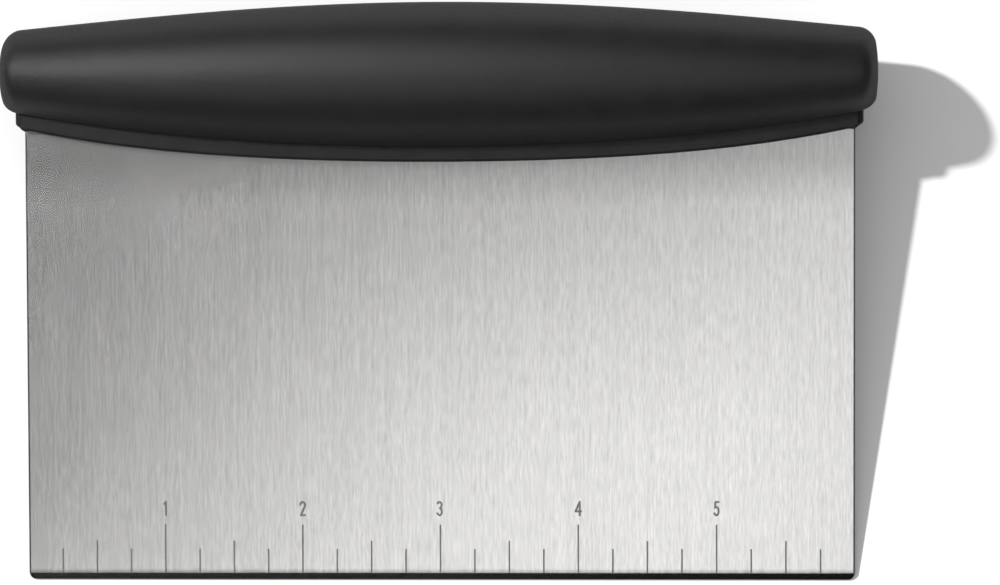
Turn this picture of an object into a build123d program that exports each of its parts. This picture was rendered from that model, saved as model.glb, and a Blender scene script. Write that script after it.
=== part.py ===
from build123d import *
from build123d.topology import SkipClean
import os
from math import asin, atan2, cos, degrees, pi, radians, sin, sqrt

# Bench scraper: a stainless blade whose hidden tang is clamped between two hard
# core shells, with a soft grip moulded over the shells.
#
# The pieces are drawn in the tool's own axes, then laid on a table:
#   x = along the cutting edge, y = up the blade from the cutting edge,
#   z = out of the blade's marked face, with z = 0 in the blade's mid-plane.
# Millimetres throughout.

# ---------------------------------------------------------------- blade
blade_w = 152.4          # 6 in wide
blade_t = 0.8            # sheet thickness
bevel_h = 1.2            # height of the ground bevel on each face
edge_land = 0.2          # thickness left at the cutting edge
corner_r = 1.3           # lower corners
shoulder_y = 86.5        # the full width ends here, inside the handle
tang_w = 140.0
tang_top = 96.5
tang_r = 4.0
tang_hole_d = 5.2
post_x = (-56.0, -28.0, 0.0, 28.0, 56.0)
post_y = 91.2

# ---------------------------------------------------------------- scale
inch = 25.4
mark_w = 0.30            # width of an engraved line
mark_depth = 0.05
tick_quarter = 4.5
tick_half = 6.0
tick_inch = 9.0
digit_base = 11.92       # height of the numerals' feet above the cutting edge
digit_h = 2.46
digit_w = 0.92
digit_line = 0.38        # width of a numeral's stroke

# ---------------------------------------------------------------- handle outline
# Each long curve departs from its mid-length height by k2*x^2 + k4*x^4.
grip_top = 106.2         # crown of the handle at mid-length, falling towards the ends
grip_top_k = (1.0019e-3, -3.07e-8)
grip_low = 79.93         # lower lip of the grip at mid-length, rising towards the ends
grip_low_k = (9.014e-4, 2.53e-8)
collar_low = 77.04       # lower edge of the collar at mid-length, rising towards the ends
collar_low_k = (6.976e-4, 6.127e-8)
grip_half_t = 13.0       # half thickness at mid-length
grip_half_end = 9.1      # half thickness at half_len
half_len = 78.0
grip_end = 80.3          # apex of the domed end face
dome_sag = 0.35
end_corner_r = 3.1
low_corner = 0.7         # the lip's corner rises less than the others draw in
lip = 4.7                # half width of the flat lip beside the collar
grip_wall = 2.2
lip_floor = 1.6

# ---------------------------------------------------------------- core and collar
core_end = 77.7
core_wall = 2.2
collar_half_t = 3.8
collar_end = 77.6        # ends of the collar, outside the blade's edges
strip_end = 76.5         # the front strip stops here, inside the end hooks
hook_front = 2.9         # the end hooks stand this far in front of the mid-plane
hook_x = 75.8
hook_y = 82.75           # tips of the hooks that wrap the blade's side edges
collar_out_y = 84.0      # the chamfer from the hook's tip ends here
slab_rise = 4.5          # the collar runs this far up inside the grip
edge_r = 0.5             # rounding of the collar's outer edges
hook_r = 0.8             # rounding of the hooks' outer front edges
step_gap = 0.12          # between the front strip's ends and the end hooks
cavity_end = 70.0
rib_x = (-66.0, -42.0, -14.0, 14.0, 42.0, 66.0)
rib_t = 1.8
boss_d = 8.0
pin_d = 4.8
socket_d = 5.0
pin_len = 4.4            # beyond the blade's mid-plane
slot_gap = 0.15          # round the blade's outline

half_bt = blade_t / 2


def bow(k, x):
    """How far a long curve departs from its mid-length height at x."""
    return k[0] * x ** 2 + k[1] * x ** 4


def section(x):
    """Centre height, two semi-axes and the lip height of the grip at x."""
    top = grip_top - bow(grip_top_k, x)
    low = grip_low + bow(grip_low_k, x)
    b = grip_half_t - (grip_half_t - grip_half_end) * (x / half_len) ** 2
    q = sqrt(1.0 - (lip / b) ** 2)
    a = (top - low) / (1.0 + q)
    return top - a, a, b, low


def ring(x, inset, rise, points=29, at=None, share=1.0):
    """Closed outline of the handle at x, drawn in by inset, cut flat at rise above the lip.

    The outline can stand at another x and be shrunk to a share of its size about its centre.
    """
    c, a, b, low = section(x)
    a, b = a - inset, b - inset
    t0 = asin(max(-0.999, (low + rise - c) / a))
    pts = []
    for i in range(points):
        t = t0 + (pi - 2 * t0) * i / (points - 1)
        pts.append(Vector(x if at is None else at, c + share * a * sin(t), share * b * cos(t)))
    side = Edge.make_spline(pts)
    base = Edge.make_line(pts[-1], pts[0])
    return Wire([side, base])


def span(lo, hi, n):
    return [lo + (hi - lo) * i / (n - 1) for i in range(n)]


def handle(x_end, inset, rise, n=13):
    return Solid.make_loft([ring(x, inset, rise) for x in span(-x_end, x_end, n)])


def end_cap(sign):
    """Rounded corner and shallow domed face that close one end of the grip."""
    x0 = grip_end - dome_sag - end_corner_r
    rings = []
    for deg in (0, 15, 30, 45, 60, 72, 82):
        x = x0 + end_corner_r * sin(radians(deg))
        inset = end_corner_r * (1 - cos(radians(deg)))
        rings.append(ring(sign * x, inset, low_corner * inset))
    for share in (0.84, 0.62, 0.38, 0.14):
        at = x + (grip_end - x) * (1 - share ** 2)
        rings.append(ring(sign * x, inset, low_corner * inset, at=sign * at, share=share))
    return Solid.make_loft(rings)


def box(x0, x1, y0, y1, z0, z1):
    return Pos((x0 + x1) / 2, (y0 + y1) / 2, (z0 + z1) / 2) * Box(x1 - x0, y1 - y0, z1 - z0)


def stud(x, y, d, z0, z1):
    return Pos(x, y, (z0 + z1) / 2) * Cylinder(d / 2, z1 - z0)


def prism(edges, z0, z1):
    return Pos(0, 0, z0) * extrude(Face(Wire(edges)), amount=z1 - z0)


# ---------------------------------------------------------------- blade
hw, tw = blade_w / 2, tang_w / 2


def blade_profile(grow=0.0, low=0.0):
    """Outline of the blade in the x-y plane: wide plate, shoulders and tang."""
    w, t, s, top, r = hw + grow, tw + grow, shoulder_y + grow, tang_top + grow, tang_r
    with BuildSketch() as sk:
        with BuildLine():
            Polyline((-w, low), (w, low), (w, s), (t, s), (t, top), (-t, top), (-t, s), (-w, s), close=True)
        make_face()
        fillet([v for v in sk.vertices() if abs(v.Y - top) < 1e-6], r)
        if not grow:
            fillet([v for v in sk.vertices() if abs(v.Y - low) < 1e-6], corner_r)
            fillet([v for v in sk.vertices() if abs(v.Y - s) < 1e-6 and abs(abs(v.X) - w) < 1e-6], 1.5)
    return sk.sketch


blade = Pos(0, 0, -half_bt) * extrude(blade_profile(), amount=blade_t)
for side in (1, -1):
    blade -= extrude(
        Plane.YZ.offset(-hw - 1) * make_face(Polyline(
            (-0.5, side * (edge_land / 2 - 0.5 * (half_bt - edge_land / 2) / bevel_h)),
            (bevel_h, side * half_bt),
            (bevel_h, side * (half_bt + 1)),
            (-0.5, side * (half_bt + 1)),
            close=True)),
        amount=blade_w + 2)
for x in post_x:
    blade -= stud(x, post_y, tang_hole_d, -half_bt - 1, half_bt + 1)


# The scale: quarter-inch ticks from the bevel up, with a numeral over each inch.
def stroke(x0, y0, x1, y1):
    """One straight stroke of a numeral, square-ended."""
    length = sqrt((x1 - x0) ** 2 + (y1 - y0) ** 2) + 0.4 * digit_line
    turn = degrees(atan2(y1 - y0, x1 - x0))
    return (Pos((x0 + x1) / 2, (y0 + y1) / 2, half_bt) * Rot(0, 0, turn)
            * Box(length, digit_line, 2 * mark_depth))


def arc_points(cx, cy, rx, ry, a0, a1, n):
    return [(cx + rx * cos(radians(a)), cy + ry * sin(radians(a))) for a in span(a0, a1, n)]


def numeral(n):
    """Centre line of a plain condensed numeral in a unit box, x and y from 0 to 1."""
    if n == 1:
        return [[(0.26, 0.84), (0.61, 1.0), (0.61, 0.0)]]
    if n == 2:
        return [arc_points(0.5, 0.74, 0.46, 0.26, 172, -22, 9) + [(0.14, 0.0), (0.96, 0.0)]]
    if n == 3:
        return [arc_points(0.36, 0.765, 0.44, 0.235, 150, -82, 8)
                + arc_points(0.36, 0.265, 0.48, 0.265, 82, -155, 9)]
    if n == 4:
        return [[(0.80, 0.0), (0.80, 1.0), (-0.04, 0.30), (1.08, 0.30)]]
    return [[(0.92, 1.0), (0.28, 1.0), (0.20, 0.56)]
            + arc_points(0.46, 0.32, 0.46, 0.32, 118, -150, 9)]


marks = []
for i in range(1, 24):
    x = -hw + i * inch / 4
    tall = tick_inch if i % 4 == 0 else tick_half if i % 2 == 0 else tick_quarter
    marks.append(box(x - mark_w / 2, x + mark_w / 2, bevel_h, bevel_h + tall,
                     half_bt - mark_depth, half_bt + mark_depth))
for n in range(1, 6):
    x = -hw + n * inch - digit_w / 2
    for line in numeral(n):
        pts = [(x + digit_w * u, digit_base + digit_h * v) for u, v in line]
        marks += [stroke(*p, *q) for p, q in zip(pts, pts[1:])]
blade = blade - marks

# ---------------------------------------------------------------- grip and core bodies
x_cap = grip_end - dome_sag - end_corner_r
grip_body = handle(x_cap, 0, 0) + end_cap(1) + end_cap(-1)
core_body = handle(core_end, grip_wall, lip_floor)
hollow = handle(cavity_end, grip_wall + core_wall, slab_rise)


def collar_curve(x_lim, base, k, shift=0.0, n=25):
    """Long curve of the collar from one side to the other, as a spline."""
    return Edge.make_spline([Vector(x, base + bow(k, x) + shift, 0) for x in span(-x_lim, x_lim, n)])


def collar_profile():
    """Collar in the x-y plane: long lower curve, hooked and chamfered ends."""
    x_a, end = 75.0, collar_end
    y_a = collar_low + bow(collar_low_k, x_a)
    y_t = grip_low + bow(grip_low_k, end) + slab_rise
    low = [(x_a, y_a), (hook_x, hook_y), (end, collar_out_y), (end, y_t)]
    edges = [collar_curve(x_a, collar_low, collar_low_k)]
    edges += [Edge.make_line((*p, 0), (*q, 0)) for p, q in zip(low, low[1:])]
    edges.append(collar_curve(end, grip_low, grip_low_k, slab_rise))
    edges += [Edge.make_line((-p[0], p[1], 0), (-q[0], q[1], 0)) for p, q in zip(low, low[1:])]
    face = Face(Wire(edges))
    for x, y, r in ((x_a, y_a, 0.9), (hook_x, hook_y, 0.5), (end, collar_out_y, 0.8)):
        spots = [v for v in face.vertices() if abs(abs(v.X) - x) < 1e-6 and abs(v.Y - y) < 1e-6]
        face = face.fillet_2d(r, spots)
    return face


slab = extrude(collar_profile(), amount=collar_half_t, both=True)
rim = [e for e in slab.edges()
       if abs(abs((e @ 0).Z) - collar_half_t) < 1e-6 and abs((e @ 0).Z - (e @ 1).Z) < 1e-6
       and (e @ 0.5).Y < collar_out_y + 2.0]
rim = [e for e in rim if (e @ 0.5).Y < grip_low + bow(grip_low_k, (e @ 0.5).X) + slab_rise - 0.1]
slab = slab.fillet(edge_r, rim)

core_solid = core_body + slab

# Tang seat shared by both shells, and the opening the blade leaves through.
seat = Pos(0, 0, -half_bt) * extrude(blade_profile(slot_gap, 60.0), amount=blade_t)

front_half = box(-strip_end, strip_end, 60, 120, 0, 20)
posts = [(x, post_y) for x in post_x]

# The blade's faces end at the collar: the bare part and the covered part are
# separate faces of one solid, meeting on a line just below the collar's edge
# and just below the tips of its hooks.
cover_x, cover_gap = 74.0, 0.1
cover_y = collar_low + bow(collar_low_k, cover_x) - cover_gap
cover_line = collar_curve(cover_x, collar_low, collar_low_k, -cover_gap)
rim_line = [(cover_x, cover_y), (hw + 2, hook_y - 0.5), (hw + 2, -5),
            (-hw - 2, -5), (-hw - 2, hook_y - 0.5), (-cover_x, cover_y)]
below = extrude(Face(Wire([cover_line] + [
    Edge.make_line((*p, 0), (*q, 0)) for p, q in zip(rim_line, rim_line[1:])])),
    amount=5, both=True)
bare, covered = blade & below, blade - below
with SkipClean():
    blade = bare.solids()[0].fuse(covered.solids()[0])

# ---------------------------------------------------------------- front shell
front = (core_solid & front_half) - hollow
ribs = [box(x - rib_t / 2, x + rib_t / 2, 70, 110, 0, 20) & hollow for x in rib_x]
front = front + ribs + [stud(x, y, boss_d, 0, 20) & hollow for x, y in posts]
front = front - seat
front = front - [stud(x, y, socket_d, 0, pin_len + 0.3) for x, y in posts]

# ---------------------------------------------------------------- rear shell
step_x = strip_end + step_gap
ends = (core_solid - box(-step_x, step_x, 60, 120, -20, 20)) - box(-90, 90, 60, 120, hook_front, 20)
outer = [e for e in ends.edges()
         if abs((e @ 0).Z - hook_front) < 1e-6 and abs((e @ 1).Z - hook_front) < 1e-6
         and abs((e @ 0.5).X) > step_x + 0.3 and (e @ 0.5).Y < collar_out_y + 6.0]
ends = ends.fillet(hook_r, [e for e in outer if abs(abs((e @ 0.5).X) - collar_end) < 1e-6])
rear = (core_solid & box(-step_x, step_x, 60, 120, -20, 0)) - hollow
rear = rear + ends
back_ribs = [box(x - rib_t / 2, x + rib_t / 2, 70, 110, -20, 0) & hollow for x in rib_x]
rear = rear + back_ribs + [stud(x, y, boss_d, -20, 0) & hollow for x, y in posts]
rear = rear - seat
rear = rear + [stud(x, y, pin_d, -half_bt - 1.0, pin_len) for x, y in posts]

# ---------------------------------------------------------------- soft grip
# The grip is moulded on the shells, so its inside is their outside.
grip = grip_body - core_solid

# ---------------------------------------------------------------- laid on the table
# The blade's rear bevel shoulder and the handle's fattest point both touch z = 0.
c0, a0, b0, _ = section(0.0)
tilt = 0.0
for _i in range(60):
    reach = sqrt((a0 * sin(tilt)) ** 2 + (b0 * cos(tilt)) ** 2)
    low_blade = bevel_h * sin(tilt) - half_bt * cos(tilt)
    tilt = asin((low_blade + reach) / c0)
y_high = c0 * cos(tilt) + sqrt((a0 * cos(tilt)) ** 2 + (b0 * sin(tilt)) ** 2)
y_low = -edge_land / 2 * sin(tilt)
lift = -(bevel_h * sin(tilt) - half_bt * cos(tilt))
place = Pos(0, -(y_high + y_low) / 2, lift) * Rot(degrees(tilt), 0, 0)

os.makedirs("parts", exist_ok=True)
for name, piece in {
    "blade": blade,
    "core_front_shell": front,
    "core_rear_shell": rear,
    "grip_sleeve": grip,
}.items():
    solids = piece.solids()
    placed = place * (solids[0] if len(solids) == 1 else Compound(solids))
    export_step(placed, "parts/" + name + ".step")
    print(name, len(solids), round(sum(s.volume for s in solids), 1))
print("tilt", round(degrees(tilt), 4), "y shift", round(-(y_high + y_low) / 2, 4), "lift", round(lift, 4))
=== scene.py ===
import math
from collections import defaultdict

import bmesh
import bpy
from mathutils import Matrix, Vector, noise
from mathutils.geometry import delaunay_2d_cdt


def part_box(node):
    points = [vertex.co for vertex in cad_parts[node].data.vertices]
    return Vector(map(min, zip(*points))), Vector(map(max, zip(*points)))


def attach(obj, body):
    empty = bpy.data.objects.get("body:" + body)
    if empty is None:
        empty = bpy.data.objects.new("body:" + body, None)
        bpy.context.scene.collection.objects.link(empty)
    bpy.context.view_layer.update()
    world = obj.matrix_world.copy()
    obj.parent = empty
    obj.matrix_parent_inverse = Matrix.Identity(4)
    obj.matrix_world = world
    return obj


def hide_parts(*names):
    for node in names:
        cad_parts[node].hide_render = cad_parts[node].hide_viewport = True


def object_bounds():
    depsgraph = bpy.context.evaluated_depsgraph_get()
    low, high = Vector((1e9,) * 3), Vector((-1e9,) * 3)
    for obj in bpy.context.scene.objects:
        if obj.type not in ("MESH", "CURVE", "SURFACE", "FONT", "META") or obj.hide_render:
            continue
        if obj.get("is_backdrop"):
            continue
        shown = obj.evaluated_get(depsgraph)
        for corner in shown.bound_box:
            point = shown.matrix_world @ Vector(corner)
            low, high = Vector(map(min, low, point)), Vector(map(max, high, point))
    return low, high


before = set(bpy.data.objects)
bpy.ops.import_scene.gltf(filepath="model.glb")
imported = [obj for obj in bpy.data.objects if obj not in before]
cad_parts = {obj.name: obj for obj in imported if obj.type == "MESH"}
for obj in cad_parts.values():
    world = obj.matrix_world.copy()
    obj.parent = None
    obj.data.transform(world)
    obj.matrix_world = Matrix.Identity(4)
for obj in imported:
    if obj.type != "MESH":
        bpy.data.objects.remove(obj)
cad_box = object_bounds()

scene = bpy.context.scene
MM = 0.001

# ------------------------------------------------------------------ dimensions
# The tool's own axes, in millimetres: x along the cutting edge, v up the blade
# from the cutting edge, w out of the marked face with w = 0 in the mid-plane.
BLADE_HW, BLADE_HT = 76.2, 0.4
BEVEL_H, LAND_H = 1.2, 0.10
CORNER_R, ARRIS_R = 1.3, 0.36
SHOULDER, TANG_HW, TANG_TOP, TANG_R, TANG_HOLE = 86.5, 70.0, 96.5, 4.0, 5.2
POST_X, POST_V = (-56.0, -28.0, 0.0, 28.0, 56.0), 91.2
INCH, MARK_W, MARK_DEPTH = 25.4, 0.30, 0.05
TICKS = {0: 9.0, 2: 6.0, 1: 4.5, 3: 4.5}
DIGIT_BASE, DIGIT_H, DIGIT_W, DIGIT_LINE = 11.92, 2.46, 0.92, 0.38

GRIP_TOP, GRIP_TOP_K = 106.2, (1.0019e-3, -3.07e-8)
GRIP_LOW, GRIP_LOW_K = 79.93, (9.014e-4, 2.53e-8)
GRIP_HALF_T, GRIP_HALF_END, HALF_LEN = 13.0, 9.1, 78.0
GRIP_END, DOME_SAG, END_R, LOW_CORNER = 80.3, 0.35, 3.1, 0.7
LIP, LIP_R, GRIP_WALL, LIP_FLOOR = 4.7, 0.45, 2.2, 1.6
CORE_END, COLLAR_HALF_T, COLLAR_END, SLAB_RISE = 77.7, 3.8, 77.6, 4.5


def bow(k, x):
    return k[0] * x ** 2 + k[1] * x ** 4


# ------------------------------------------------------------------ placement
# The blade's own faces in the frame give the tool's axes and origin.
def tool_axes():
    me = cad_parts["blade"].data
    groups = defaultdict(float)
    for p in me.polygons:
        n = p.normal
        if n.z > 0.9:
            groups[(round(n.x, 3), round(n.y, 3), round(n.z, 3))] += p.area
    key = max(groups, key=groups.get)
    ew = Vector((0.0, key[1], key[2])).normalized()
    ex = Vector((1.0, 0.0, 0.0))
    ev = ew.cross(ex).normalized()
    co = [v.co for v in me.vertices]
    high = max(ew.dot(c) for c in co)
    low = min(ew.dot(c) for c in co)
    foot = min(ev.dot(c) for c in co)
    lo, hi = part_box("blade")
    origin = ex * ((lo.x + hi.x) / 2) + ew * ((high + low) / 2) + ev * foot
    return origin, ex, ev, ew


ORIGIN, EX, EV, EW = tool_axes()


def at(x, v, w):
    return ORIGIN + (EX * x + EV * v + EW * w) * MM


def to_tool(co):
    d = (co - ORIGIN) / MM
    return Vector((d.dot(EX), d.dot(EV), d.dot(EW)))


def new_object(name, mesh):
    o = bpy.data.objects.new(name, mesh)
    scene.collection.objects.link(o)
    return o


def smooth(mesh, angle=None):
    for p in mesh.polygons:
        p.use_smooth = True
    if angle is not None:
        mesh.set_sharp_from_angle(angle=math.radians(angle))


# ------------------------------------------------------------------ blade piece
def arc(cx, cy, r, a0, a1, n, extra=()):
    angles = sorted([a0 + (a1 - a0) * i / n for i in range(n + 1)] + list(extra), reverse=a1 < a0)
    return [(cx + r * math.cos(math.radians(a)), cy + r * math.sin(math.radians(a))) for a in angles]


def blade_outline():
    """Anticlockwise outline, seen from the marked face, with its rounded corners."""
    kink = math.degrees(math.asin((BEVEL_H - CORNER_R) / CORNER_R))
    right = arc(BLADE_HW - CORNER_R, CORNER_R, CORNER_R, -90, 0, 9, (kink,))
    for v in (20.0, 40.0, 60.0, 78.0):
        right.append((BLADE_HW, v))
    right += arc(BLADE_HW - 1.5, SHOULDER - 1.5, 1.5, 0, 90, 6)
    right.append((TANG_HW, SHOULDER))
    right += arc(TANG_HW - TANG_R, TANG_TOP - TANG_R, TANG_R, 0, 90, 6)
    left = [(-x, v) for x, v in reversed(right)]
    foot = [(x, 0.0) for x in (-50.0, -25.0, 0.0, 25.0, 50.0)]
    return right + left + foot


def arris(v):
    """Radius of the rounded edge at a height above the cutting edge."""
    return min(ARRIS_R, 0.9 * half_t(v))


def offset(loop, share):
    """The loop drawn in by a share of the arris radius, square to its edges."""
    out = []
    n = len(loop)
    for i in range(n):
        d = share * arris(loop[i][1])
        a, b, c = (Vector(loop[i - 1]), Vector(loop[i]), Vector(loop[(i + 1) % n]))
        e, f = (b - a).normalized(), (c - b).normalized()
        n0, n1 = Vector((-e.y, e.x)), Vector((-f.y, f.x))
        m = (n0 + n1)
        m = m / max(0.4, m.dot(n0))
        out.append((b.x + m.x * d, b.y + m.y * d))
    return out


def half_t(v):
    """Half thickness at a height above the cutting edge: land, bevel, then full sheet."""
    return min(BLADE_HT, LAND_H + (BLADE_HT - LAND_H) * max(0.0, v) / BEVEL_H)


def strokes(line, width):
    """Convex polygons that together cover a centre line of that width, with round joints."""
    out = []
    h = width / 2
    for (x0, y0), (x1, y1) in zip(line, line[1:]):
        d = Vector((x1 - x0, y1 - y0)).normalized() * h
        n = Vector((-d.y, d.x))
        out.append([(x0 - n.x, y0 - n.y), (x1 - n.x, y1 - n.y), (x1 + n.x, y1 + n.y), (x0 + n.x, y0 + n.y)])
    for x, y in line:
        out.append([(x + 0.99 * h * math.cos(a), y + 0.99 * h * math.sin(a))
                    for a in (2 * math.pi * (i + 0.37) / 10 for i in range(10))])
    return out


def curve_pts(cx, cy, rx, ry, a0, a1, n):
    return [(cx + rx * math.cos(math.radians(a0 + (a1 - a0) * i / (n - 1))),
             cy + ry * math.sin(math.radians(a0 + (a1 - a0) * i / (n - 1)))) for i in range(n)]


def numeral(n):
    """Centre line of a plain condensed numeral in a unit box."""
    if n == 1:
        return [(0.26, 0.84), (0.61, 1.0), (0.61, 0.0)]
    if n == 2:
        return curve_pts(0.5, 0.74, 0.46, 0.26, 172, -22, 10) + [(0.14, 0.0), (0.96, 0.0)]
    if n == 3:
        return (curve_pts(0.36, 0.765, 0.44, 0.235, 150, -82, 9)
                + curve_pts(0.36, 0.265, 0.48, 0.265, 82, -155, 10))
    if n == 4:
        return [(0.80, 0.0), (0.80, 1.0), (-0.04, 0.30), (1.08, 0.30)]
    return [(0.92, 1.0), (0.28, 1.0), (0.20, 0.56)] + curve_pts(0.46, 0.32, 0.46, 0.32, 118, -150, 10)


def mark_polygons():
    polys = []
    for i in range(1, 24):
        x = -BLADE_HW + i * INCH / 4
        h = MARK_W / 2
        top = BEVEL_H + TICKS[i % 4]
        polys.append([(x - h, BEVEL_H + 0.06), (x + h, BEVEL_H + 0.06), (x + h, top), (x - h, top)])
    for n in range(1, 6):
        x = -BLADE_HW + n * INCH - DIGIT_W / 2
        line = [(x + DIGIT_W * u, DIGIT_BASE + DIGIT_H * t) for u, t in numeral(n)]
        polys += strokes(line, DIGIT_LINE)
    return polys


def build_blade():
    outline = blade_outline()
    n = len(outline)
    steps = [math.radians(a) for a in (0, 22.5, 45, 67.5, 90)]
    verts, faces, kinds = [], [], []

    def push(x, v, w):
        verts.append(at(x, v, w))
        return len(verts) - 1

    # rounded arrises: rings from the front face's border over to the rear face's
    rings = []
    for side in (1, -1):
        for a in (reversed(steps) if side == 1 else steps):
            loop = offset(outline, 1 - math.cos(a))
            rings.append([push(x, v, side * (half_t(v) - arris(o[1]) * (1 - math.sin(a))))
                          for (x, v), o in zip(loop, outline)])
    for lo, hi in zip(rings, rings[1:]):
        for i in range(n):
            j = (i + 1) % n
            faces.append((lo[i], lo[j], hi[j], hi[i]))
            kinds.append(2 if max(outline[i][1], outline[j][1]) <= BEVEL_H else 3)

    inner = offset(outline, 1.0)
    left = min(range(n), key=lambda i: (abs(inner[i][1] - BEVEL_H) if inner[i][0] < 0 else 9e9))
    right = min(range(n), key=lambda i: (abs(inner[i][1] - BEVEL_H) if inner[i][0] > 0 else 9e9))
    holes = [arc(x, POST_V, TANG_HOLE / 2, 0, 345, 23) for x in POST_X]
    hole_rings = {}
    for side in (1, -1):
        pts = [Vector(p) for p in inner]
        edges = [(left, right)]
        polys = [list(range(n))]
        start = len(pts)
        for hole in holes:
            polys.append(list(range(len(pts), len(pts) + len(hole))))
            pts += [Vector(p) for p in hole]
        first_mark = len(polys)
        if side == 1:
            for poly in mark_polygons():
                polys.append(list(range(len(pts), len(pts) + len(poly))))
                pts += [Vector(p) for p in poly]
        vs, _es, fs, ov, _oe, of = delaunay_2d_cdt(pts, edges, polys, 1, 1e-5)
        ids = []
        for k, p in enumerate(vs):
            src = [i for i in ov[k] if i < n]
            if src:
                ids.append(rings[0][src[0]] if side == 1 else rings[-1][src[0]])
            else:
                ids.append(push(p.x, p.y, side * half_t(p.y)))
        for k, p in enumerate(vs):
            for i in ov[k]:
                if start <= i < start + sum(len(h) for h in holes):
                    hole_rings.setdefault(side, {})[i - start] = ids[k]
        marked, plain = [], []
        for f, src in zip(fs, of):
            if any(1 <= s < first_mark for s in src):
                continue
            tri = f if side == 1 else list(reversed(f))
            (marked if any(s >= first_mark for s in src) else plain).append(tri)
        for tri in plain:
            faces.append(tuple(ids[k] for k in tri))
            kinds.append(2 if sum(vs[k].y for k in tri) / 3 < BEVEL_H else 0)
        sunk, count = {}, defaultdict(int)
        for tri in marked:
            for a, b in zip(tri, tri[1:] + tri[:1]):
                count[(a, b)] += 1
        for tri in marked:
            for k in tri:
                if k not in sunk:
                    sunk[k] = push(vs[k].x, vs[k].y, side * (half_t(vs[k].y) - MARK_DEPTH))
            faces.append(tuple(sunk[k] for k in tri))
            kinds.append(1)
        for (a, b) in list(count):
            if (b, a) not in count:
                faces.append((ids[a], ids[b], sunk[b], sunk[a]))
                kinds.append(1)
    at_hole = 0
    for hole in holes:
        m = len(hole)
        for i in range(m):
            j = (i + 1) % m
            f0, f1 = hole_rings[1][at_hole + i], hole_rings[1][at_hole + j]
            b0, b1 = hole_rings[-1][at_hole + i], hole_rings[-1][at_hole + j]
            faces.append((f1, f0, b0, b1))
            kinds.append(0)
        at_hole += m

    me = bpy.data.meshes.new("blade_brushed_sheet")
    me.from_pydata([tuple(v) for v in verts], [], faces)
    me.validate()
    bm = bmesh.new()
    bm.from_mesh(me)
    bmesh.ops.recalc_face_normals(bm, faces=bm.faces)
    bm.to_mesh(me)
    bm.free()
    for p, k in zip(me.polygons, kinds):
        p.material_index = k
        p.use_smooth = True
    me.set_sharp_from_angle(angle=math.radians(50))
    # Flat layout at true scale, so that the grain has one direction: marked face,
    # rear face and the narrow edges each have their own part of the sheet.
    uv = me.uv_layers.new(name="grain")
    for p in me.polygons:
        nx, nv, nw = p.normal.dot(EX), p.normal.dot(EV), p.normal.dot(EW)
        for li in p.loop_indices:
            t = to_tool(me.vertices[me.loops[li].vertex_index].co)
            if abs(nw) >= max(abs(nx), abs(nv)) * 0.8:
                u, w = (2 + 76.2 + t.x, 8 + t.y) if nw > 0 else (160 + 76.2 - t.x, 8 + t.y)
            elif abs(nx) >= abs(nv):
                u, w = (320 + 4 * (nx > 0) + t.z, 8 + t.y)
            else:
                u, w = (2 + 76.2 + t.x, (2 if nv < 0 else 120) + t.z)
            uv.data[li].uv = (u / 340.0, w / 340.0)
    o = new_object("blade_brushed_sheet", me)
    mod = o.modifiers.new("even_normals", "WEIGHTED_NORMAL")
    mod.keep_sharp = True
    mod.weight = 60
    return o


# ------------------------------------------------------------------ grip piece
def section(x):
    top = GRIP_TOP - bow(GRIP_TOP_K, x)
    low = GRIP_LOW + bow(GRIP_LOW_K, x)
    b = GRIP_HALF_T - (GRIP_HALF_T - GRIP_HALF_END) * (x / HALF_LEN) ** 2
    q = math.sqrt(1.0 - (LIP / b) ** 2)
    a = (top - low) / (1.0 + q)
    return top - a, a, b, low


def ring_points(x, inset, rise, lip_r, n, m, flat):
    """Half a section from the crown down to the middle of the base, as (v, w), w >= 0."""
    c, a, b, low = section(x)
    a, b = a - inset, b - inset
    floor = low + rise
    t0 = math.asin(max(-0.999, (floor - c) / a))
    # a small round joins the side to the flat base
    pv, pw = floor, b * math.cos(t0)
    tv, tw = a * math.cos(t0), -b * math.sin(t0)          # direction of rising t
    k = math.hypot(tv, tw)
    tv, tw = tv / k, tw / k
    cosg = tw * -1.0                                      # base runs towards w = 0
    cosg = max(-0.999, min(0.999, cosg))
    gap = math.acos(cosg)                                 # inner angle at the lip
    r = min(lip_r, 0.3 * pw)
    reach = r / math.tan(gap / 2)
    # parameter on the side where the round starts
    t1 = t0 + reach / math.hypot(a * math.cos(t0), b * math.sin(t0))
    side = []
    for i in range(n):
        f = i / (n - 1)
        t = math.pi / 2 + (t1 - math.pi / 2) * f
        side.append((c + a * math.sin(t), b * math.cos(t)))
    sv, sw = side[-1]
    ev, ew = floor, pw - reach
    lipped = []
    for i in range(1, m + 1):
        f = i / m
        # quadratic from the side's end round the corner to the base
        v = (1 - f) ** 2 * sv + 2 * f * (1 - f) * pv + f * f * ev
        w = (1 - f) ** 2 * sw + 2 * f * (1 - f) * pw + f * f * ew
        lipped.append((v, w))
    base = [(floor, ew * (1 - i / flat)) for i in range(1, flat + 1)]
    return side + lipped + base


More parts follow.
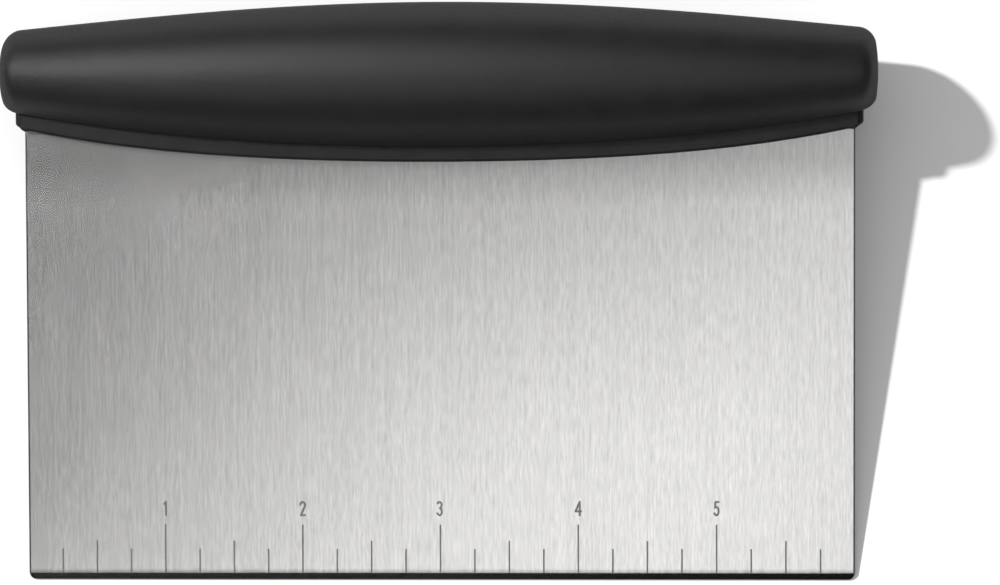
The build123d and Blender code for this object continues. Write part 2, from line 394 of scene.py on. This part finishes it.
def loft(x_mid, end, inset, rise, lip_r, n, m, flat, nx, name, smooth_shade=True):
    """Closed skin: rings along x, each end closed by its rounded corner and dome."""
    rows = []
    for i in range(nx + 1):
        x = -x_mid + 2 * x_mid * i / nx
        rows.append((x, ring_points(x, inset, rise, lip_r, n, m, flat)))
    if end is not None:
        x0, r, sag = end
        caps = []
        for deg in (12, 24, 36, 46, 56, 66, 75, 82):
            x = x0 + r * math.sin(math.radians(deg))
            g = r * (1 - math.cos(math.radians(deg)))
            caps.append((x, ring_points(x, g, LOW_CORNER * g, lip_r, n, m, flat)))
        xl, last = caps[-1]
        c = section(xl)[0]
        tip = x0 + r + sag
        for share in (0.92, 0.82, 0.68, 0.5, 0.3, 0.12):
            caps.append((xl + (tip - xl) * (1 - share ** 2),
                         [(c + share * (v - c), share * w) for v, w in last]))
        rows = ([(-x, p) for x, p in reversed(caps)] + rows + caps)
    verts, faces = [], []
    count = len(rows[0][1])
    full = 2 * count - 2
    for x, pts in rows:
        loop = pts + [(v, -w) for v, w in reversed(pts[1:-1])]
        for v, w in loop:
            verts.append(at(x, v, w))
    for i in range(len(rows) - 1):
        for j in range(full):
            k = (j + 1) % full
            faces.append((i * full + j, i * full + k, (i + 1) * full + k, (i + 1) * full + j))
    for i, flip in ((0, False), (len(rows) - 1, True)):
        loop = [i * full + j for j in range(full)]
        x, pts = rows[i]
        mid_v = sum(v for v, _w in pts) / len(pts)
        verts.append(at(x, mid_v, 0.0))
        c = len(verts) - 1
        for j in range(full):
            a, b = loop[j], loop[(j + 1) % full]
            faces.append((a, b, c) if flip else (b, a, c))
    me = bpy.data.meshes.new(name)
    me.from_pydata([tuple(v) for v in verts], [], faces)
    me.validate()
    bm = bmesh.new()
    bm.from_mesh(me)
    bmesh.ops.recalc_face_normals(bm, faces=bm.faces)
    bm.to_mesh(me)
    bm.free()
    smooth(me)
    return new_object(name, me)


def slab_cutter():
    """Slot the collar passes through: its ends, its thickness and its height in the grip."""
    n, end, h = 40, COLLAR_END + 0.02, COLLAR_HALF_T + 0.02
    top, low = [], []
    for i in range(n + 1):
        x = -end + 2 * end * i / n
        top.append((x, GRIP_LOW + bow(GRIP_LOW_K, x) + SLAB_RISE))
        low.append((x, GRIP_LOW + bow(GRIP_LOW_K, x) - 2.0))
    loop = low + list(reversed(top))
    verts = [at(x, v, -h) for x, v in loop] + [at(x, v, h) for x, v in loop]
    m = len(loop)
    faces = [(i, (i + 1) % m, m + (i + 1) % m, m + i) for i in range(m)]
    q = n + 1
    for i in range(n):
        a, b = i, i + 1
        c, d = 2 * q - 1 - (i + 1), 2 * q - 1 - i
        faces.append((a, d, c, b))
        faces.append((m + a, m + b, m + c, m + d))
    me = bpy.data.meshes.new("slot_tool")
    me.from_pydata([tuple(v) for v in verts], [], faces)
    me.validate()
    bm = bmesh.new()
    bm.from_mesh(me)
    bmesh.ops.recalc_face_normals(bm, faces=bm.faces)
    bm.to_mesh(me)
    bm.free()
    return new_object("slot_tool", me)


def cut(target, tool):
    mod = target.modifiers.new("cut", "BOOLEAN")
    mod.operation = "DIFFERENCE"
    mod.solver = "EXACT"
    mod.object = tool
    bpy.context.view_layer.update()
    deps = bpy.context.evaluated_depsgraph_get()
    done = bpy.data.meshes.new_from_object(target.evaluated_get(deps))
    target.modifiers.clear()
    old = target.data
    target.data = done
    bpy.data.meshes.remove(old)
    bpy.data.objects.remove(tool)


def build_grip():
    grip = loft(GRIP_END - DOME_SAG - END_R, (GRIP_END - DOME_SAG - END_R, END_R, DOME_SAG),
                0.0, 0.0, LIP_R, 44, 4, 8, 110, "grip_soft_overmould")
    # parting line of the two mould halves: a fine raised seam round crown and ends
    me = grip.data
    me.update()
    moves = []
    for v in me.vertices:
        t = to_tool(v.co)
        if t.y > section(max(-78.0, min(78.0, t.x)))[3] + 1.0:
            s = 0.05 * math.exp(-(t.z / 0.16) ** 2)
            if s > 0.004:
                moves.append((v.index, v.co + v.normal * s * MM))
    for i, co in moves:
        me.vertices[i].co = co
    core = loft(CORE_END, None, GRIP_WALL, LIP_FLOOR, 0.01, 30, 1, 4, 60, "core_tool")
    cut(grip, core)
    cut(grip, slab_cutter())
    smooth(grip.data, 40)
    grip.data.name = "grip_soft_overmould"
    grip.name = "grip_soft_overmould"
    return grip


# ------------------------------------------------------------------ node helpers
def shader(name, **values):
    mat = bpy.data.materials.new(name)
    mat.use_nodes = True
    nt = mat.node_tree
    for nd in list(nt.nodes):
        if nd.type not in {"BSDF_PRINCIPLED", "OUTPUT_MATERIAL"}:
            nt.nodes.remove(nd)
    b = next(nd for nd in nt.nodes if nd.type == "BSDF_PRINCIPLED")
    for k, v in values.items():
        b.inputs[k.replace("_", " ")].default_value = v
    return mat, nt, b


def link(nt, a, b):
    nt.links.new(a, b)


def coords(nt, scale=(1.0, 1.0, 1.0), rot=(0.0, 0.0, 0.0), loc=(0.0, 0.0, 0.0)):
    """Object coordinates turned into the tool's axes, then scaled."""
    tc = nt.nodes.new("ShaderNodeTexCoord")
    turn = nt.nodes.new("ShaderNodeMapping")
    turn.inputs["Rotation"].default_value = (-math.atan2(EV.z, EV.y), 0.0, 0.0)
    link(nt, tc.outputs["Object"], turn.inputs["Vector"])
    mp = nt.nodes.new("ShaderNodeMapping")
    mp.inputs["Scale"].default_value = scale
    mp.inputs["Rotation"].default_value = rot
    mp.inputs["Location"].default_value = loc
    link(nt, turn.outputs["Vector"], mp.inputs["Vector"])
    return mp.outputs["Vector"]


def noise_tex(nt, vec, scale=1.0, detail=2.0, rough=0.5, lac=2.0, dist=0.0):
    nd = nt.nodes.new("ShaderNodeTexNoise")
    nd.inputs["Scale"].default_value = scale
    nd.inputs["Detail"].default_value = detail
    nd.inputs["Roughness"].default_value = rough
    nd.inputs["Lacunarity"].default_value = lac
    nd.inputs["Distortion"].default_value = dist
    link(nt, vec, nd.inputs["Vector"])
    return nd.outputs["Fac"]


def fit(nt, val, a, b, c, d, clamp=True):
    nd = nt.nodes.new("ShaderNodeMapRange")
    nd.clamp = clamp
    for s, v in zip(("From Min", "From Max", "To Min", "To Max"), (a, b, c, d)):
        nd.inputs[s].default_value = v
    link(nt, val, nd.inputs["Value"])
    return nd.outputs["Result"]


def math_node(nt, op, a, b=None, clamp=False):
    nd = nt.nodes.new("ShaderNodeMath")
    nd.operation = op
    nd.use_clamp = clamp
    for i, v in enumerate((a, b)):
        if v is None:
            continue
        if isinstance(v, (int, float)):
            nd.inputs[i].default_value = v
        else:
            link(nt, v, nd.inputs[i])
    return nd.outputs[0]


def mix_rgb(nt, fac, a, b):
    nd = nt.nodes.new("ShaderNodeMix")
    nd.data_type = "RGBA"
    if isinstance(fac, (int, float)):
        nd.inputs["Factor"].default_value = fac
    else:
        link(nt, fac, nd.inputs["Factor"])
    for s, v in (("A", a), ("B", b)):
        sock = [i for i in nd.inputs if i.name == s and i.type == "RGBA"][0]
        if isinstance(v, tuple):
            sock.default_value = (*v, 1.0)
        else:
            link(nt, v, sock)
    return [o for o in nd.outputs if o.type == "RGBA"][0]


def bump(nt, height, strength, distance, normal=None):
    nd = nt.nodes.new("ShaderNodeBump")
    nd.inputs["Strength"].default_value = strength
    nd.inputs["Distance"].default_value = distance
    link(nt, height, nd.inputs["Height"])
    if normal is not None:
        link(nt, normal, nd.inputs["Normal"])
    return nd.outputs["Normal"]


# ------------------------------------------------------------------ materials
GRIP_BASE, GRIP_SPEC, GRIP_ROUGH = (0.0050, 0.0050, 0.0051), 0.55, 0.49
CORE_BASE, CORE_SPEC, CORE_ROUGH = (0.009, 0.009, 0.0092), 0.26, 0.47


def steel_material(name="brushed_stainless", base=0.62, rough=0.26, grain=(3200.0, 360.0), depth=0.42, aniso=0.30, painted_shade=True):
    """Brushed steel: hair-fine streaks with one direction, soft clouds; clean and unworn, with optional painted
    shade near the bevel and the handle.
    """
    mat, nt, b = shader(name, Metallic=1.0, Anisotropic=aniso)
    across, along = grain
    fine = noise_tex(nt, coords(nt, (across, along, along)), 1.0, 1.5, 0.5)
    hair = noise_tex(nt, coords(nt, (across * 0.62, along * 0.16, along * 0.16), loc=(3.1, 0.4, 0.0)), 1.0, 1.0, 0.5)
    cloud = noise_tex(nt, coords(nt, (60.0, 38.0, 38.0), loc=(1.7, 2.2, 0.0)), 1.0, 3.0, 0.5)
    tone = math_node(nt, "MULTIPLY", fit(nt, fine, 0.0, 1.0, -0.5, 0.5, False), depth)
    tone = math_node(nt, "ADD", tone, math_node(nt, "MULTIPLY", fit(nt, hair, 0.0, 1.0, -0.5, 0.5, False), depth * 0.45))
    tone = math_node(nt, "ADD", tone, math_node(nt, "MULTIPLY", fit(nt, cloud, 0.0, 1.0, -0.5, 0.5, False), 0.09))
    r = fit(nt, cloud, 0.0, 1.0, rough - 0.02, rough + 0.02, False)
    tone = math_node(nt, "ADD", tone, 0.5, clamp=True)
    k = 1.0 / 0.62
    colour = mix_rgb(nt, tone, tuple(base * k * c for c in (0.314, 0.311, 0.307)),
                     tuple(base * k * c for c in (0.930, 0.922, 0.910)))
    if painted_shade:
        # painted shade: darker towards the ground bevel, standing in for the dark reflection of the rounded bevel
        # shoulder, with a slightly ragged limit
        sep = nt.nodes.new("ShaderNodeSeparateXYZ")
        link(nt, coords(nt), sep.inputs["Vector"])
        up = math_node(nt, "ADD", sep.outputs["Y"], fit(nt, hair, 0.3, 0.7, -0.00006, 0.00006, False))
        foot = EV.dot(ORIGIN) + BEVEL_H * MM
        bevel_shade = fit(nt, up, foot - 0.0001, foot + 0.0009, 0.0, 1.0)
        bevel_shade = math_node(nt, "POWER", bevel_shade, 0.6)
        colour = mix_rgb(nt, bevel_shade, tuple(0.22 * base * c for c in (1.0, 0.99, 0.98)), colour)
        # painted shade: a soft darker band next to the handle, standing in for the shadow and dark reflection of the
        # handle in the steel
        high = fit(nt, sep.outputs["Y"], EV.dot(ORIGIN) + 69.0 * MM, EV.dot(ORIGIN) + 77.5 * MM, 1.0, 0.62)
        colour = mix_rgb(nt, high, tuple(0.25 * base * c for c in (1.0, 0.99, 0.98)), colour)
    link(nt, colour, b.inputs["Base Color"])
    link(nt, r, b.inputs["Roughness"])
    tan = nt.nodes.new("ShaderNodeTangent")
    tan.direction_type = "UV_MAP"
    tan.uv_map = "grain"
    link(nt, tan.outputs["Tangent"], b.inputs["Tangent"])
    return mat


def etch_material():
    mat, nt, b = shader("etched_mark", Metallic=0.55)
    fine = noise_tex(nt, coords(nt, (3000.0, 3000.0, 3000.0)), 1.0, 2.0, 0.6)
    colour = mix_rgb(nt, fine, (0.13, 0.128, 0.125), (0.27, 0.265, 0.26))
    link(nt, colour, b.inputs["Base Color"])
    link(nt, fit(nt, fine, 0.3, 0.7, 0.5, 0.72), b.inputs["Roughness"])
    link(nt, bump(nt, fine, 0.4, 0.00002), b.inputs["Normal"])
    return mat


def grip_material():
    """Soft-touch rubber: fine dull grain, duller still where it is seen edge-on."""
    mat, nt, b = shader("soft_touch_black", Metallic=0.0, Specular_IOR_Level=GRIP_SPEC)
    blotch = noise_tex(nt, coords(nt, (260.0, 260.0, 260.0)), 1.0, 2.0, 0.5)
    mid = noise_tex(nt, coords(nt, (1100.0, 1100.0, 1100.0)), 1.0, 2.0, 0.55)
    grain = noise_tex(nt, coords(nt, (3000.0, 3000.0, 3000.0)), 1.0, 2.0, 0.6)
    colour = mix_rgb(nt, fit(nt, blotch, 0.3, 0.7, 0.0, 1.0), tuple(0.8 * c for c in GRIP_BASE), tuple(1.2 * c for c in GRIP_BASE))
    link(nt, colour, b.inputs["Base Color"])
    facing = nt.nodes.new("ShaderNodeLayerWeight")
    facing.inputs["Blend"].default_value = 0.5
    r = math_node(nt, "ADD", fit(nt, blotch, 0.0, 1.0, GRIP_ROUGH - 0.04, GRIP_ROUGH + 0.04, False),
                  fit(nt, mid, 0.0, 1.0, -0.06, 0.06, False))
    r = math_node(nt, "ADD", r, fit(nt, facing.outputs["Facing"], 0.25, 0.75, 0.0, 0.34))
    link(nt, r, b.inputs["Roughness"])
    n1 = bump(nt, mid, 0.5, 0.00006)
    n2 = bump(nt, grain, 0.6, 0.00006, n1)
    link(nt, n2, b.inputs["Normal"])
    return mat


def core_material():
    mat, nt, b = shader("moulded_core", Metallic=0.0, Specular_IOR_Level=CORE_SPEC)
    blotch = noise_tex(nt, coords(nt, (240.0, 240.0, 240.0), loc=(0.3, 0.1, 0.0)), 1.0, 3.0, 0.5)
    grain = noise_tex(nt, coords(nt, (4200.0, 4200.0, 4200.0)), 1.0, 3.0, 0.6)
    colour = mix_rgb(nt, fit(nt, blotch, 0.3, 0.7, 0.0, 1.0), tuple(0.8 * c for c in CORE_BASE), tuple(1.2 * c for c in CORE_BASE))
    link(nt, colour, b.inputs["Base Color"])
    link(nt, fit(nt, grain, 0.3, 0.7, CORE_ROUGH - 0.08, CORE_ROUGH + 0.08), b.inputs["Roughness"])
    link(nt, bump(nt, grain, 0.5, 0.00003), b.inputs["Normal"])
    return mat


def dress(o, *mats):
    o.data.materials.clear()
    for m in mats:
        o.data.materials.append(m)


STEEL = steel_material()
# darker copy of the steel for the ground bevel: painted shade for the dark surroundings it reflects
BEVEL = steel_material("ground_bevel", 0.29, 0.24, (260.0, 2600.0), 0.4, 0.3, False)
# darker copy of the steel for the narrow rounded edges: painted shade for the dark line their rounding reflects
EDGE = steel_material("painted_dark_edge", 0.20, 0.28, (900.0, 900.0), 0.3, 0.0, False)
ETCH, SOFT, CORE = etch_material(), grip_material(), core_material()

blade = build_blade()
kinds = [p.material_index for p in blade.data.polygons]
dress(blade, STEEL, ETCH, BEVEL, EDGE)
blade.data.polygons.foreach_set("material_index", kinds)
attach(blade, "root")
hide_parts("blade")

grip = build_grip()
dress(grip, SOFT)
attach(grip, "root")
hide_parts("grip_sleeve")

for name in ("core_front_shell", "core_rear_shell"):
    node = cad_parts[name]
    if node.material_slots:
        for s in node.material_slots:
            s.material = CORE
    else:
        node.data.materials.append(CORE)

# ------------------------------------------------------------------ floor
fl = bpy.data.meshes.new("floor")
fl.from_pydata([(-4, -4, 0), (4, -4, 0), (4, 4, 0), (-4, 4, 0)], [], [(0, 1, 2, 3)])
floor = new_object("floor", fl)
floor.location.z = cad_box[0][2] - 0.00002
fmat, fnt, fb = shader("pale_floor", Metallic=0.0, Roughness=0.9, Specular_IOR_Level=0.1)
fn = noise_tex(fnt, coords(fnt, (30.0, 30.0, 30.0)), 1.0, 2.0, 0.5)
link(fnt, mix_rgb(fnt, fn, (0.80, 0.80, 0.80), (0.82, 0.82, 0.82)), fb.inputs["Base Color"])
floor.data.materials.append(fmat)
floor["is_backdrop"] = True

# ------------------------------------------------------------------ light
# A hard key light low on the left, a pale room that fills the shadow, and soft
# panels overhead that only show as sheen on the steel and the grip.
SUN_FROM, SUN_STRENGTH, SUN_ANGLE = Vector((-1.10, 0.49, 1.0)), 4.2, 3.2
ROOM_FILL, ROOM_SHEEN = 0.53, 0.19
sun_data = bpy.data.lights.new("key", "SUN")
sun_data.energy = SUN_STRENGTH
sun_data.angle = math.radians(SUN_ANGLE)
sun = bpy.data.objects.new("key", sun_data)
scene.collection.objects.link(sun)
sun.rotation_euler = SUN_FROM.to_track_quat("Z", "Y").to_euler()
sun.visible_glossy = False


def panel(name, place, size, radiance, faces_down=False):
    data = bpy.data.lights.new(name, "AREA")
    data.shape = "SQUARE"
    data.size = size
    data.energy = radiance * math.pi * size ** 2
    o = bpy.data.objects.new(name, data)
    scene.collection.objects.link(o)
    o.location = place
    aim = Vector((0.0, 0.0, 1.0)) if faces_down else Vector(place)
    o.rotation_euler = aim.to_track_quat("Z", "Y").to_euler()
    o.visible_camera = False
    o.visible_diffuse = False
    return o


panel("panel_front_far_left", (-0.30, -0.35, 0.60), 0.15, 1.05, True)
panel("panel_front_left", (-0.15, -0.35, 0.60), 0.15, 3.85, True)
panel("panel_left", (-0.15, -0.20, 0.60), 0.15, 0.20, True)
panel("panel_middle", (0.0, -0.20, 0.60), 0.15, 0.74, True)
panel("panel_right", (0.15, -0.20, 0.60), 0.15, 0.80, True)
panel("panel_back_right", (0.15, -0.05, 0.60), 0.15, 0.75, True)
panel("panel_far_right", (0.30, -0.05, 0.60), 0.15, 2.10, True)
panel("overhead", (0.0, -0.78, 2.91), 0.70, 1.35)
panel("lamp_left", (-0.20, 0.09, 0.35), 0.10, 16.3)
panel("lamp_further_left", (-0.40, 0.09, 0.35), 0.10, 4.6)
panel("lamp_far_left", (-0.65, 0.19, 0.35), 0.10, 1.7)
panel("lamp_middle", (0.0, 0.11, 0.35), 0.10, 3.2)
panel("lamp_back_left", (-0.15, 0.24, 0.35), 0.10, 12.0)

world = bpy.data.worlds.new("studio")
world.use_nodes = True
scene.world = world
wnt = world.node_tree
wnt.nodes.clear()
w_path = wnt.nodes.new("ShaderNodeLightPath")
w_dir = wnt.nodes.new("ShaderNodeTexCoord")
w_xyz = wnt.nodes.new("ShaderNodeSeparateXYZ")
link(wnt, w_dir.outputs["Generated"], w_xyz.inputs["Vector"])
# sheen from the room: a pale band round the horizon, dark beyond the cutting edge
low = fit(wnt, w_xyz.outputs["Z"], 0.35, 0.65, 1.0, 0.0)
aside = math_node(wnt, "MULTIPLY", math_node(wnt, "ABSOLUTE", w_xyz.outputs["X"]), 0.9)
back = fit(wnt, math_node(wnt, "ADD", w_xyz.outputs["Y"], aside), -0.65, -0.30, 0.0, 1.0)
room = math_node(wnt, "MULTIPLY", math_node(wnt, "MULTIPLY", low, back), ROOM_SHEEN)
glow = math_node(wnt, "MULTIPLY", w_path.outputs["Is Glossy Ray"], room)
fill = math_node(wnt, "MULTIPLY", w_path.outputs["Is Diffuse Ray"], ROOM_FILL)
seen = math_node(wnt, "MULTIPLY", w_path.outputs["Is Camera Ray"], 0.93)
w_back = wnt.nodes.new("ShaderNodeBackground")
w_back.inputs["Color"].default_value = (1.0, 1.0, 1.0, 1.0)
link(wnt, math_node(wnt, "ADD", math_node(wnt, "ADD", glow, fill), seen), w_back.inputs["Strength"])
w_out = wnt.nodes.new("ShaderNodeOutputWorld")
link(wnt, w_back.outputs["Background"], w_out.inputs["Surface"])
scene.view_settings.view_transform = "Standard"
scene.view_settings.look = "None"
scene.view_settings.exposure = 0.0
scene.view_settings.gamma = 1.0

# ------------------------------------------------------------------ camera
cam_data = bpy.data.cameras.new("camera")
cam_data.lens = 156.09
cam_data.sensor_width = 36.0
cam_data.sensor_fit = "HORIZONTAL"
cam_data.clip_start = 0.02
cam_data.clip_end = 60.0
cam = bpy.data.objects.new("camera", cam_data)
scene.collection.objects.link(cam)
cam.location = (0.04501, -0.06502, 0.800)
cam.rotation_euler = (math.radians(4.677), math.radians(2.438), math.radians(0.112))
scene.camera = cam

now_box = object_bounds()
({"cad": [list(map(float, cad_box[0])), list(map(float, cad_box[1]))],
           "visual": [list(map(float, now_box[0])), list(map(float, now_box[1]))]})
